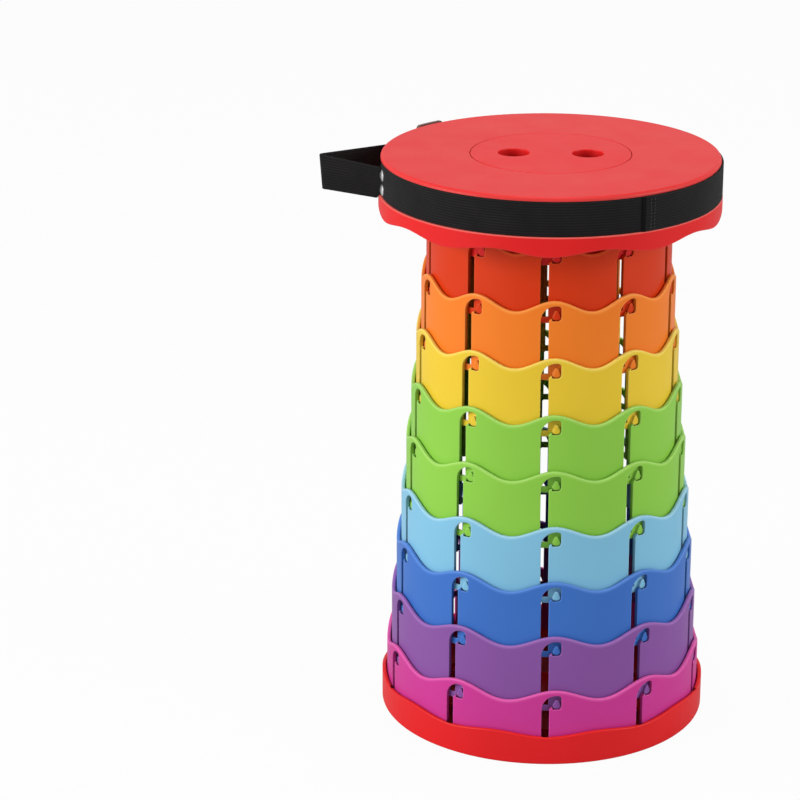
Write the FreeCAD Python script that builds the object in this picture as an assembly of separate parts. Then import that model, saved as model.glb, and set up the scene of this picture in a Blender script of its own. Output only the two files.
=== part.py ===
import FreeCAD, Part
import math
import os

# Collapsible telescopic stool, millimetres.
# The origin is on the floor on the stool's axis, +Z is up and -Y is the front.
# The stool stands extended. Nine wavy-topped rings nest in each other, and lugs at each ring's
# foot hang in hooked slots near the crest of the next ring out.

# Rings, ring 1 is the innermost and highest
RING_COUNT = 9
RING_OUTER_R = 90.34          # outside radius of ring 1
RING_WALL = 2.9
RING_GAP = 0.76               # radial play between two neighbouring rings
RING_HEIGHT = 58.6            # foot to crest
RING_OVERLAP = 17.0           # how far an extended ring reaches below the next ring's crest
FOOT_RING_HEIGHT = 55.0       # the outermost ring stands on the base floor
WAVE_COUNT = 10
WAVE_RISE = 9.0               # crest to trough
WAVE_EDGE_ROUND = 0.8
WAVE_POINTS = 9               # points of a wavy curve on each side of its middle
FRONT_CREST_DEG = 2.7         # where ring 1 has its front crest, from the front to the right
TURN_PER_RING_DEG = 0.29      # each ring stands turned a little further than the one inside it

# Hooked slots, measured sideways from the crest line and down from the crest
LUG_ASIDE = 1.5               # from the crest line to the lug's middle, towards the right
HOOK_SHIFT = 8.4              # from the long slot's middle to the lug's middle
SLOT_WIDTH = 5.8
SLOT_FOOT_WEB = 4.6           # skin left across the slot's foot
HOOK_TOP = 3.5                # crest to the top of the hook
HOOK_ARC_R = 11.0
POCKET_FLOOR = 14.8           # crest to the pocket's floor
POCKET_SIDE_PLAY = 0.5
POCKET_CORNER_R = 2.6
HOOK_CORNER_R = 2.6
SILL_SLOPE = 1.4
BUMP_RISE = 1.4               # sill between slot and pocket
SKIN = 1.1                    # wall left outside the blind lug channels

# Lugs
LUG_WIDTH = 5.8
LUG_HEIGHT = 7.0
LUG_TOP_R = 1.4
LUG_CORNER_R = 2.3
LUG_SEAT_PLAY = 0.3           # between the lug's foot and the pocket's floor
LUG_FACE_PLAY = 0.35          # between the lug's face and the skin, and at its sides in a channel
LUG_ROOT = 0.6                # how deep a lug is rooted in its own ring

# Base
BASE_RIM_WALL = 3.02
BASE_FLOOR = 2.4
BASE_RIM_MEAN = 23.3          # mean height of the wavy rim
BASE_RIM_RISE = 3.04
BASE_RIM_LOW_DEG = 2.4
BASE_FOOT_ROUND = 1.2
BASE_RIB_COUNT = 10
BASE_RIB_T = 1.6
BASE_RIB_HEIGHT = 5.0
BASE_RIB_IN_R = 22.0
BASE_RIB_ROOM = 5.78         # between the ribs' end and the collar that comes down round them

# Seat
SEAT_LIFT = 38.9              # crest of ring 1 to the underside of the seat's web
WEB_T = 1.6
PLATE_T = 2.0
SEAT_LIP = 1.1                # the disc stands this far out from the groove
SEAT_EDGE_ROUND = 2.4
LIP_DEPTH = 3.0               # height of the disc's edge
SHELL_PLAY = 1.38             # between the outermost ring and the shell that comes down over it
SHELL_STEP = 0.4              # the web's edge stands this far outside the shell's inside
GROOVE_WALL = 1.9
GROOVE_DEPTH = 2.8            # the skirt stands this far out from the groove
GROOVE_HEIGHT = 25.3
SKIRT_MEAN_BELOW_WEB = 36.9   # underside of the web to the mean height of the wavy skirt edge
SKIRT_RISE = 4.54
SKIRT_LOW_DEG = 0.2
SKIRT_EDGE_ROUND = 0.8
SEAT_SEAM = 0.2               # seam between the disc and the frame under it

# Cap
CAP_LEDGE = 4.6               # how far the cap reaches over the edge of its well
CAP_SEAM = 0.6
CAP_EDGE_ROUND = 0.5
FINGER_HOLE_R = 11.6
FINGER_HOLE_X = 27.0
FINGER_COLLAR_T = 1.8
FINGER_HOLE_ROUND = 0.7
CAP_COLLAR_DEPTH = 8.0
CAP_PLUG_PLAY = 0.8
CAP_PLUG_T = 2.4

# Frame under the seat
WELL_R = 54.0                 # opening under the cap
WELL_WALL = 2.4
FRAME_RIB_DEPTH = 10.0
FRAME_RIB_T = 2.0
SCREW_COUNT = 5
SCREW_CIRCLE_R = 70.0
PILLAR_R = 3.5
PILLAR_LENGTH = 12.0
CUP_WALL = 1.9
CUP_FLOOR = 2.0
CUP_PLAY = 0.15
SCREW_R = 1.5
SCREW_HEAD_R = 3.2
SCREW_HEAD_T = 2.2
SCREW_BITE = 9.0
SCREW_TIP_ROOM = 0.5
SCREW_HOLE_PLAY = 0.3
SCREW_HEAD_EASE = 0.6         # chamfer round the head
CROSS_LENGTH = 3.6            # driver recess
CROSS_WIDTH = 0.7
CROSS_DEPTH = 1.1

# Strap and handle
STRAP_T = 1.3
STRAP_WIDTH = 25.1
STRAP_START_DEG = -79.6       # where the handle's front leg leaves the seat
STRAP_END_DEG = 254.3         # where the handle's back leg leaves the seat
LAP_START_DEG = 31.3          # sewn end of the outer layer
LAP_PAST_SLIDER = 10.0        # length of the outer layer beyond the slider
HANDLE_REACH = 47.4           # sideways from the groove to the loop's tip
HANDLE_TIP_Y = -3.0
HANDLE_ROOT_RUN = 1.4         # short run along the seat before the webbing turns out
HANDLE_BEND_R = 2.2
HANDLE_TIP_R = 2.6
RIVET_TO_ROOT_DEG = 2.1       # rivet pair to the place where a handle leg leaves the seat
RIVET_MID_HEIGHT = 10.8       # lower edge of the strap to the middle of a rivet pair
RIVET_PITCH = 10.6
RIVET_HEAD_R = 4.4
RIVET_HEAD_T = 1.5
RIVET_SHANK_R = 1.9
RIVET_BLIND = 0.3             # wall left behind the shank
RIVET_SINK = 0.5
RIVET_LEAN_DEG = 8.0          # the loop's pull leans the heads away from it

# Slider on the strap
SLIDER_DEG = 226.9
SLIDER_LENGTH = 26.0
SLIDER_BAR = 2.6
SLIDER_T = 2.6
SLIDER_PLAY = 0.2             # between the webbing and the slider
SLIDER_SLOT_PLAY = 0.5
SLIDER_CENTRE_BAR = 4.0
SLIDER_CORNER_R = 3.0
SLIDER_EDGE_ROUND = 0.7

# Worked out from the sizes above
WAVE_PITCH_DEG = 360.0 / WAVE_COUNT
RING_STEP = RING_WALL + RING_GAP
RING_RISE = RING_HEIGHT - RING_OVERLAP
FOOT_CREST_Z = BASE_FLOOR + FOOT_RING_HEIGHT
CREST_Z = [FOOT_CREST_Z + RING_RISE * (RING_COUNT - 1 - i) for i in range(RING_COUNT)]
WEB_Z = CREST_Z[0] + SEAT_LIFT
PLATE_Z = WEB_Z + WEB_T
SEAT_TOP_Z = PLATE_Z + PLATE_T
LIP_Z = SEAT_TOP_Z - LIP_DEPTH
GROOVE_Z = LIP_Z - GROOVE_HEIGHT
STRAP_Z = GROOVE_Z + (GROOVE_HEIGHT - STRAP_WIDTH) / 2.0
SKIRT_MEAN_Z = WEB_Z - SKIRT_MEAN_BELOW_WEB
POCKET_HALF = LUG_WIDTH / 2.0 + POCKET_SIDE_PLAY
CHANNEL_HALF = LUG_WIDTH / 2.0 + LUG_FACE_PLAY
COLLAR_OUTER_R = RING_OUTER_R - RING_STEP
COLLAR_INNER_R = COLLAR_OUTER_R - RING_WALL
LAST_RING_R = RING_OUTER_R + RING_STEP * (RING_COUNT - 1)
RIM_INNER_R = LAST_RING_R + RING_GAP
BASE_R = RIM_INNER_R + BASE_RIM_WALL
BASE_RIB_OUT_R = COLLAR_INNER_R - BASE_RIB_ROOM
SHELL_IN_R = LAST_RING_R + SHELL_PLAY
GROOVE_R = SHELL_IN_R + GROOVE_WALL
SEAT_R = GROOVE_R + SEAT_LIP
SKIRT_R = GROOVE_R + GROOVE_DEPTH
CAP_R = WELL_R + CAP_LEDGE
UP = FreeCAD.Vector(0, 0, 1)
ORIGIN = FreeCAD.Vector(0, 0, 0)


def ring_outer(index):
    """Outside radius of ring number index, where 1 is the innermost."""
    return RING_OUTER_R + RING_STEP * (index - 1)


def crest_deg(index):
    """Angle of ring number index's front crest."""
    return FRONT_CREST_DEG + TURN_PER_RING_DEG * (index - 1)


def around(radius, angle_deg, z=0.0):
    """Point at an angle counted from the front towards the right."""
    angle = math.radians(angle_deg)
    return FreeCAD.Vector(radius * math.sin(angle), -radius * math.cos(angle), z)


def cylinder(radius, z_low, z_high):
    return Part.makeCylinder(radius, z_high - z_low, FreeCAD.Vector(0, 0, z_low))


def tube(outer_r, inner_r, z_low, z_high):
    return cylinder(outer_r, z_low, z_high).cut(cylinder(inner_r, z_low, z_high))


def turned(shape, angle_deg):
    """Copy of a shape, turned about the axis towards the right."""
    copy = shape.copy()
    copy.rotate(ORIGIN, UP, angle_deg)
    return copy


def sector(profile, span_deg=WAVE_PITCH_DEG, start_deg=None):
    """Turns a closed (radius, height) outline through an angle, by default one wave about the front."""
    start = -span_deg / 2.0 if start_deg is None else start_deg
    points = [around(radius, start, z) for radius, z in profile]
    face = Part.Face(Part.makePolygon(points + points[:1]))
    return face.revolve(ORIGIN, UP, span_deg)


def box_profile(inner_r, outer_r, z_low, z_high):
    return [(inner_r, z_low), (outer_r, z_low), (outer_r, z_high), (inner_r, z_high)]


def is_side(face):
    """True for a flat face that lies on one of the two side planes of a front sector."""
    for side_deg in (-WAVE_PITCH_DEG / 2.0, WAVE_PITCH_DEG / 2.0):
        normal = around(1.0, side_deg + 90.0)
        if all(abs(vertex.Point.dot(normal)) < 1e-5 for vertex in face.Vertexes):
            return True
    return False


def whole_from_sector(one):
    """Repeats a front sector all round and sews the copies into one closed solid."""
    skin = [face for face in one.Faces if not is_side(face)]
    faces = [turned(face, WAVE_PITCH_DEG * i) for i in range(WAVE_COUNT) for face in skin]
    sewn = Part.makeCompound(faces)
    sewn.sewShape(1e-4)
    whole = Part.makeSolid(sewn.Shells[0])
    if whole.Volume < 0:
        whole.reverse()
    return whole


def wave_curve(radius, mean_z, rise, crest_at_deg):
    """Wavy curve on a cylinder, a little wider than the front sector; with no rise, an arc."""
    points = []
    angles = [0.75 * WAVE_PITCH_DEG * i / WAVE_POINTS for i in range(-WAVE_POINTS, WAVE_POINTS + 1)]
    for angle in angles:
        swing = math.cos(math.radians(WAVE_COUNT * (angle - crest_at_deg)))
        points.append(around(radius, angle, mean_z + rise / 2.0 * swing))
    curve = Part.BSplineCurve()
    curve.interpolate(Points=points, Parameters=angles)
    return curve


def wavy_cutter(profile, mean_z, rise, crest_at_deg, far_z):
    """Solid between a wavy face and the level far_z, to cut a wavy edge with.

    The profile is the wavy face's cross-section, as (radius, height above the wave) pairs from
    the axis outwards.
    """
    curves = [wave_curve(radius, mean_z + above, rise, crest_at_deg) for radius, above in profile]
    curves.append(wave_curve(profile[-1][0], far_z, 0.0, crest_at_deg))
    curves.append(wave_curve(profile[0][0], far_z, 0.0, crest_at_deg))
    faces = []
    for curve, following in zip(curves, curves[1:] + curves[:1]):
        faces.append(Part.makeRuledSurface(curve.toShape(), following.toShape()))
    for corners in ([curve.StartPoint for curve in curves], [curve.EndPoint for curve in curves]):
        faces.append(Part.Face(Part.makePolygon(corners + corners[:1])))
    shell = Part.makeShell(faces)
    shell.sewShape(1e-4)
    solid = Part.makeSolid(shell)
    if solid.Volume < 0.0:
        solid.reverse()
    return solid


def wavy_edge(inner_r, outer_r, mean_z, rise, crest_at_deg, round_r, up=1.0):
    """Cutter for a wavy edge of a wall: level across its thickness, with both corners eased.

    Each corner is eased by two narrow faces through the points of a round of radius round_r.
    up is 1 for an upper edge and -1 for a lower one.
    """
    mid = round_r * (1.0 - math.sqrt(0.5))
    slope = (round_r - mid) / mid
    past = round_r
    profile = [
        (inner_r - past, -up * (round_r + slope * past)),
        (inner_r + mid, -up * mid),
        (inner_r + round_r, 0.0),
        (outer_r - round_r, 0.0),
        (outer_r - mid, -up * mid),
        (outer_r + past, -up * (round_r + slope * past)),
    ]
    return wavy_cutter(profile, mean_z, rise, crest_at_deg, mean_z + up * (rise + round_r))


def round_circles(shape, radius, z, round_r):
    """Rounds the edges that run round the axis at one radius and height."""
    chosen = []
    for edge in shape.Edges:
        middle = edge.valueAt((edge.FirstParameter + edge.LastParameter) / 2.0)
        level = abs(edge.BoundBox.ZMin - z) < 0.01 and abs(edge.BoundBox.ZMax - z) < 0.01
        if level and abs(math.hypot(middle.x, middle.y) - radius) < 0.02:
            chosen.append(edge)
    return shape.makeFillet(round_r, chosen)


def front_face(points):
    """Face in the vertical plane through the axis, facing the front, from (sideways, height) points.

    A point with a third value is the middle of an arc between its neighbours.
    """
    flat = [FreeCAD.Vector(p[0], 0, p[1]) for p in points]
    count = len(points)
    edges = []
    i = 0
    while i < count:
        after = (i + 1) % count
        if len(points[after]) == 3:
            edges.append(Part.Arc(flat[i], flat[after], flat[(i + 2) % count]).toShape())
            i += 2
        else:
            edges.append(Part.makeLine(flat[i], flat[after]))
            i += 1
    return Part.Face(Part.Wire(edges))


def through_front(face, near_r, far_r):
    """Extrudes a front face outwards from one radius to another."""
    moved = face.copy()
    moved.translate(FreeCAD.Vector(0, -near_r, 0))
    return moved.extrude(FreeCAD.Vector(0, near_r - far_r, 0))


def corner(centre_x, centre_z, radius, angle_deg):
    """Point on a small arc, marked as an arc's middle."""
    angle = math.radians(angle_deg)
    return (centre_x + radius * math.cos(angle), centre_z + radius * math.sin(angle), True)


def hook_face(crest_z, foot_z):
    """Outline of a hooked slot: long slot to the left of the plane's middle, pocket to its right."""
    slot_x = -HOOK_SHIFT / 2.0
    lug_x = HOOK_SHIFT / 2.0
    left = slot_x - SLOT_WIDTH / 2.0
    right = slot_x + SLOT_WIDTH / 2.0
    top = crest_z - HOOK_TOP
    floor = crest_z - POCKET_FLOOR
    sill = floor + BUMP_RISE
    pocket_left = lug_x - LUG_WIDTH / 2.0 - LUG_SEAT_PLAY
    pocket_right = lug_x + POCKET_HALF
    arc_x = left + HOOK_ARC_R
    arc_z = top - HOOK_ARC_R
    top_x = pocket_right - HOOK_CORNER_R
    top_z = top - HOOK_CORNER_R
    round_x = pocket_right - POCKET_CORNER_R
    round_z = floor + POCKET_CORNER_R
    return front_face([
        (left, foot_z),
        (left, arc_z),
        corner(arc_x, arc_z, HOOK_ARC_R, 135.0),
        (arc_x, top),
        (top_x, top),
        corner(top_x, top_z, HOOK_CORNER_R, 45.0),
        (pocket_right, top_z),
        (pocket_right, round_z),
        corner(round_x, round_z, POCKET_CORNER_R, -45.0),
        (round_x, floor),
        (pocket_left, floor),
        (pocket_left, sill),
        (right + SILL_SLOPE, sill),
        (right, floor),
        (right, foot_z),
    ])


def lug_face(crest_z):
    """Outline of a lug in its pocket: broad at the foot, narrow and round at the top."""
    x = HOOK_SHIFT / 2.0
    foot = crest_z - POCKET_FLOOR + LUG_SEAT_PLAY
    top_z = foot + LUG_HEIGHT - LUG_TOP_R
    half = LUG_WIDTH / 2.0
    low = foot + LUG_CORNER_R
    return front_face([
        (x - half, low),
        (x - LUG_TOP_R, top_z),
        corner(x, top_z, LUG_TOP_R, 90.0),
        (x + LUG_TOP_R, top_z),
        (x + half, low),
        corner(x + half - LUG_CORNER_R, low, LUG_CORNER_R, -45.0),
        (x + half - LUG_CORNER_R, foot),
        (x - half + LUG_CORNER_R, foot),
        corner(x - half + LUG_CORNER_R, low, LUG_CORNER_R, -135.0),
    ])


def hook_plane_deg(outer_r):
    """Angle from the crest to the plane that hooks are cut in, midway between slot and lug."""
    return math.degrees((LUG_ASIDE - HOOK_SHIFT / 2.0) / outer_r)


def lug(carrier_r, host_outer_r, host_turn_deg, host_crest_z):
    """One lug of a ring of radius carrier_r, in the front pocket of the ring round it.

    host_turn_deg is the host's crest angle less the carrier's.
    """
    face_r = host_outer_r - SKIN - LUG_FACE_PLAY
    blank = through_front(lug_face(host_crest_z), carrier_r - LUG_ROOT, host_outer_r)
    trimmed = blank.common(cylinder(face_r, host_crest_z - RING_HEIGHT, host_crest_z))
    return turned(trimmed, host_turn_deg + hook_plane_deg(host_outer_r))


def blind_channel(outer_r, middle_x, half, low_z, high_z, skin):
    """Upright channel inside a ring's wall that leaves a skin outside."""
    corners = [(middle_x - half, low_z), (middle_x + half, low_z)]
    corners += [(middle_x + half, high_z), (middle_x - half, high_z)]
    blank = through_front(front_face(corners), outer_r - 2.0 * RING_WALL, outer_r)
    trimmed = blank.common(cylinder(outer_r - skin, low_z - 1.0, high_z + 1.0))
    return turned(trimmed, hook_plane_deg(outer_r))


def make_ring(index):
    """One ring of the leg: wavy rounded top, hooked slots, blind channels and lugs at the foot."""
    outer = ring_outer(index)
    inner = outer - RING_WALL
    crest = CREST_Z[index - 1]
    last = index == RING_COUNT
    foot = crest - (FOOT_RING_HEIGHT if last else RING_HEIGHT)
    mean = crest - WAVE_RISE / 2.0
    slot_foot = foot + SLOT_FOOT_WEB
    hook = turned(through_front(hook_face(crest, slot_foot), inner - 2.0, outer + 3.0), hook_plane_deg(outer))
    lug_way = blind_channel(outer, HOOK_SHIFT / 2.0, CHANNEL_HALF, foot - 1.0, crest - POCKET_FLOOR + 1.0, SKIN)
    slot_way = blind_channel(outer, -HOOK_SHIFT / 2.0, SLOT_WIDTH / 2.0, foot - 1.0, slot_foot + 1.0, SKIN)
    one = sector(box_profile(inner, outer, foot, crest + 1.0))
    one = one.cut([hook, lug_way, slot_way])
    one = one.cut(wavy_edge(inner, outer, mean, WAVE_RISE, 0.0, WAVE_EDGE_ROUND))
    host_crest = foot + RING_OVERLAP if last else CREST_Z[index]
    one = one.fuse(lug(outer, ring_outer(index + 1), TURN_PER_RING_DEG, host_crest))
    return turned(whole_from_sector(one), crest_deg(index))


def make_base():
    """Tray that the outermost ring stands in: flat underside, ribbed floor, wavy rim."""
    crest_at = BASE_RIM_LOW_DEG + WAVE_PITCH_DEG / 2.0 - crest_deg(RING_COUNT)
    top = BASE_RIM_MEAN + BASE_RIM_RISE
    lug_top = BASE_FLOOR + RING_OVERLAP - POCKET_FLOOR + LUG_SEAT_PLAY + LUG_HEIGHT + LUG_FACE_PLAY
    host = ring_outer(RING_COUNT + 1)
    way_in = blind_channel(host, -HOOK_SHIFT / 2.0, SLOT_WIDTH / 2.0, BASE_FLOOR, top + 1.0, SKIN)
    run = blind_channel(host, 0.0, HOOK_SHIFT / 2.0 + POCKET_HALF, BASE_FLOOR, lug_top, SKIN)
    one = sector(box_profile(RIM_INNER_R, BASE_R, 0.0, top))
    one = one.cut([turned(way_in, TURN_PER_RING_DEG), turned(run, TURN_PER_RING_DEG)])
    one = one.cut(wavy_edge(RIM_INNER_R, BASE_R, BASE_RIM_MEAN, BASE_RIM_RISE, crest_at, WAVE_EDGE_ROUND))
    one = round_circles(one, BASE_R, 0.0, BASE_FOOT_ROUND)
    rim = turned(whole_from_sector(one), crest_deg(RING_COUNT))
    floor = cylinder(RIM_INNER_R, 0.0, BASE_FLOOR)
    hub = tube(BASE_RIB_IN_R + BASE_RIB_T, BASE_RIB_IN_R, BASE_FLOOR, BASE_FLOOR + BASE_RIB_HEIGHT)
    length = BASE_RIB_OUT_R - BASE_RIB_IN_R - BASE_RIB_T / 2.0
    rib = Part.makeBox(BASE_RIB_T, length, BASE_RIB_HEIGHT)
    rib.translate(FreeCAD.Vector(-BASE_RIB_T / 2.0, -BASE_RIB_OUT_R, BASE_FLOOR))
    outer_hub = tube(BASE_RIB_OUT_R + BASE_RIB_T, BASE_RIB_OUT_R, BASE_FLOOR, BASE_FLOOR + BASE_RIB_HEIGHT)
    ribs = [turned(rib, 360.0 * i / BASE_RIB_COUNT) for i in range(BASE_RIB_COUNT)]
    inside = floor.fuse([hub, outer_hub] + ribs)
    return rim.fuse(inside)


def frame_profile():
    """Cross-section of the seat frame: well wall, web, collar, groove wall and skirt."""
    collar_foot = CREST_Z[0] - RING_OVERLAP
    skirt_foot = SKIRT_MEAN_Z - SKIRT_RISE
    shoulder = SHELL_IN_R + SHELL_STEP
    return [
        (WELL_R, PLATE_Z),
        (shoulder, PLATE_Z),
        (shoulder, LIP_Z),
        (GROOVE_R, LIP_Z),
        (GROOVE_R, GROOVE_Z),
        (SKIRT_R, GROOVE_Z),
        (SKIRT_R, skirt_foot),
        (SHELL_IN_R, skirt_foot),
        (SHELL_IN_R, WEB_Z),
        (COLLAR_OUTER_R, WEB_Z),
        (COLLAR_OUTER_R, collar_foot),
        (COLLAR_INNER_R, collar_foot),
        (COLLAR_INNER_R, WEB_Z),
        (WELL_R + WELL_WALL, WEB_Z),
        (WELL_R + WELL_WALL, WEB_Z - FRAME_RIB_DEPTH),
        (WELL_R, WEB_Z - FRAME_RIB_DEPTH),
    ]


def screw_places():
    """Angles of the screws, midway between ribs of the seat frame."""
    first = crest_deg(0) + WAVE_PITCH_DEG / 2.0
    return [first + 360.0 * i / SCREW_COUNT for i in range(SCREW_COUNT)]


def upright(radius, centre, z_low, z_high):
    """Upright cylinder about a point in plan."""
    return Part.makeCylinder(radius, z_high - z_low, FreeCAD.Vector(centre.x, centre.y, z_low))


def rivet_places():
    """Angles and heights of the rivets' middles."""
    middle = STRAP_Z + RIVET_MID_HEIGHT
    angles = (STRAP_START_DEG + RIVET_TO_ROOT_DEG, STRAP_END_DEG - RIVET_TO_ROOT_DEG)
    return [(angle, middle + side * RIVET_PITCH / 2.0) for angle in angles for side in (-1, 1)]


def rivet_hole(angle, z):
    """Shank of a rivet: from inside the groove wall to the outside of the webbing."""
    start = SHELL_IN_R + RIVET_BLIND
    length = GROOVE_R + STRAP_T - start
    return Part.makeCylinder(RIVET_SHANK_R, length, around(start, angle, z), around(1.0, angle))


def make_frame():
    """Frame under the seat: web, skirt with the strap groove, collar with lugs, ribs and screw cups."""
    turn = crest_deg(0)
    one = sector(frame_profile())
    skirt_high = SKIRT_LOW_DEG + WAVE_PITCH_DEG / 2.0 - turn
    one = one.cut(wavy_edge(SHELL_IN_R, SKIRT_R, SKIRT_MEAN_Z, SKIRT_RISE, skirt_high, SKIRT_EDGE_ROUND, -1.0))
    one = round_circles(one, SKIRT_R, GROOVE_Z, SKIRT_EDGE_ROUND)
    rib_end = COLLAR_INNER_R + RING_WALL / 2.0
    rib = Part.makeBox(FRAME_RIB_T, rib_end - WELL_R - WELL_WALL / 2.0, FRAME_RIB_DEPTH)
    rib.translate(FreeCAD.Vector(-FRAME_RIB_T / 2.0, -rib_end, WEB_Z - FRAME_RIB_DEPTH))
    one = one.fuse([rib, lug(COLLAR_OUTER_R, RING_OUTER_R, TURN_PER_RING_DEG, CREST_Z[0])])
    frame = turned(whole_from_sector(one), turn)
    cup_r = PILLAR_R + CUP_PLAY + CUP_WALL
    cup_foot = PLATE_Z - PILLAR_LENGTH - CUP_FLOOR
    cups = []
    holes = []
    for angle in screw_places():
        centre = around(SCREW_CIRCLE_R, angle)
        cups.append(upright(cup_r, centre, cup_foot, WEB_Z + WEB_T / 2.0))
        holes.append(upright(PILLAR_R + CUP_PLAY, centre, cup_foot + CUP_FLOOR, PLATE_Z + 1.0))
        holes.append(upright(SCREW_R + SCREW_HOLE_PLAY, centre, cup_foot - 1.0, PLATE_Z))
    holes += [rivet_hole(angle, z) for angle, z in rivet_places()]
    return frame.fuse(cups).cut(holes)


def make_seat_top():
    """Round seat plate with a rounded edge, a lip over the frame, the cap's opening and screw pillars."""
    opening = CAP_R + CAP_SEAM
    lip_in = SHELL_IN_R + SHELL_STEP + SEAT_SEAM
    profile = [
        (opening, PLATE_Z),
        (lip_in, PLATE_Z),
        (lip_in, LIP_Z),
        (SEAT_R, LIP_Z),
        (SEAT_R, SEAT_TOP_Z),
        (opening, SEAT_TOP_Z),
    ]
    plate = sector(profile, 360.0, 0.0)
    plate = round_circles(plate, SEAT_R, SEAT_TOP_Z, SEAT_EDGE_ROUND)
    plate = round_circles(plate, opening, SEAT_TOP_Z, CAP_EDGE_ROUND)
    pillars = []
    pilots = []
    foot = PLATE_Z - PILLAR_LENGTH
    for angle in screw_places():
        centre = around(SCREW_CIRCLE_R, angle)
        pillars.append(upright(PILLAR_R, centre, foot, PLATE_Z + PLATE_T / 2.0))
        pilots.append(upright(SCREW_R, centre, foot, foot + SCREW_BITE + SCREW_TIP_ROOM))
    return plate.fuse(pillars).cut(pilots)


def make_screws():
    """Pan-head screws that hold the seat plate to its frame, each with a cross recess."""
    screws = []
    under = PLATE_Z - PILLAR_LENGTH - CUP_FLOOR
    for angle in screw_places():
        centre = around(SCREW_CIRCLE_R, angle)
        head = upright(SCREW_HEAD_R, centre, under - SCREW_HEAD_T, under)
        low = [edge for edge in head.Edges if edge.BoundBox.ZMax < under - SCREW_HEAD_T + 0.01]
        head = head.makeChamfer(SCREW_HEAD_EASE, low)
        shank = upright(SCREW_R, centre, under, under + CUP_FLOOR + SCREW_BITE)
        bar = Part.makeBox(CROSS_LENGTH, CROSS_WIDTH, CROSS_DEPTH)
        bar.translate(FreeCAD.Vector(-CROSS_LENGTH / 2.0, -CROSS_WIDTH / 2.0, under - SCREW_HEAD_T))
        cross = [bar.translated(centre), turned(bar, 90.0).translated(centre)]
        screws.append(head.fuse(shank).cut(cross))
    return Part.makeCompound(screws)


def make_cap():
    """Round cap flush with the seat, with two finger holes in short collars and a plug ring."""
    depth = PLATE_Z - CAP_COLLAR_DEPTH
    cap = cylinder(CAP_R, PLATE_Z, SEAT_TOP_Z)
    cap = round_circles(cap, CAP_R, SEAT_TOP_Z, CAP_EDGE_ROUND)
    plug_r = WELL_R - CAP_PLUG_PLAY
    solids = [tube(plug_r, plug_r - CAP_PLUG_T, depth, PLATE_Z)]
    places = [FreeCAD.Vector(side * FINGER_HOLE_X, 0, 0) for side in (-1, 1)]
    solids += [upright(FINGER_HOLE_R + FINGER_COLLAR_T, place, depth, PLATE_Z) for place in places]
    cap = cap.fuse(solids)
    cap = cap.cut([upright(FINGER_HOLE_R, place, depth - 1.0, SEAT_TOP_Z + 1.0) for place in places])
    rims = []
    for edge in cap.Edges:
        on_top = edge.BoundBox.ZMin > SEAT_TOP_Z - 0.01
        if on_top and abs(edge.Length - 2.0 * math.pi * FINGER_HOLE_R) < 0.1:
            rims.append(edge)
    return cap.makeFillet(FINGER_HOLE_ROUND, rims)


def plan_ribbon(points, radii, thickness, z_low, z_high):
    """Upright band of webbing that follows a line in plan, with a round bend at each inner point."""
    half = thickness / 2.0
    left = []
    right = []
    for i in range(1, len(points) - 1):
        before = (points[i] - points[i - 1]).normalize()
        after = (points[i + 1] - points[i]).normalize()
        turn = math.atan2(before.cross(after).z, before.dot(after))
        side = 1.0 if turn > 0 else -1.0
        radius = radii[i - 1]
        reach = radius * math.tan(abs(turn) / 2.0)
        enter = points[i] - before * reach
        leave = points[i] + after * reach
        centre = enter + UP.cross(before) * (side * radius)
        bulge = (points[i] - centre).normalize()
        for chain, offset in ((left, half), (right, -half)):
            first = enter + UP.cross(before) * offset
            last = leave + UP.cross(after) * offset
            chain.append((first, centre + bulge * (radius - side * offset), last))
    first_way = UP.cross((points[1] - points[0]).normalize())
    last_way = UP.cross((points[-1] - points[-2]).normalize())
    edges = []
    for chain, offset in ((left, half), (right, -half)):
        here = points[0] + first_way * offset
        for first, middle, last in chain:
            edges.append(Part.makeLine(here, first))
            edges.append(Part.Arc(first, middle, last).toShape())
            here = last
        edges.append(Part.makeLine(here, points[-1] + last_way * offset))
    edges.append(Part.makeLine(points[0] + first_way * half, points[0] - first_way * half))
    edges.append(Part.makeLine(points[-1] + last_way * half, points[-1] - last_way * half))
    outline = Part.Wire(Part.__sortEdges__(edges))
    face = Part.Face(outline)
    face.translate(UP * z_low)
    return face.extrude(UP * (z_high - z_low))


def make_strap_band():
    """Inner layer of webbing in the groove, from one handle root round the seat to the other."""
    profile = box_profile(GROOVE_R, GROOVE_R + STRAP_T, STRAP_Z, STRAP_Z + STRAP_WIDTH)
    band = sector(profile, STRAP_END_DEG - STRAP_START_DEG, STRAP_START_DEG)
    return band.cut([rivet_hole(angle, z) for angle, z in rivet_places()])


def make_handle():
    """Carry loop: the webbing leaves the seat, folds at the tip and comes back."""
    middle_r = GROOVE_R + STRAP_T / 2.0
    front = around(middle_r, STRAP_START_DEG)
    back = around(middle_r, STRAP_END_DEG)
    front_root = front - around(HANDLE_ROOT_RUN, STRAP_START_DEG + 90.0)
    back_root = back + around(HANDLE_ROOT_RUN, STRAP_END_DEG + 90.0)
    tip = FreeCAD.Vector(-GROOVE_R - HANDLE_REACH, HANDLE_TIP_Y, 0)
    points = [front, front_root, tip, back_root, back]
    radii = [HANDLE_BEND_R, HANDLE_TIP_R, HANDLE_BEND_R]
    return plan_ribbon(points, radii, STRAP_T, STRAP_Z, STRAP_Z + STRAP_WIDTH)


def slider_inner_r():
    """Inside radius of the slider: outside both layers of webbing."""
    return GROOVE_R + 2.0 * STRAP_T + SLIDER_PLAY


def arc_in_plan(radius, from_deg, to_deg):
    """Arc about the axis in the floor plane."""
    middle = (from_deg + to_deg) / 2.0
    return Part.Arc(around(radius, from_deg), around(radius, middle), around(radius, to_deg)).toShape()


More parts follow.
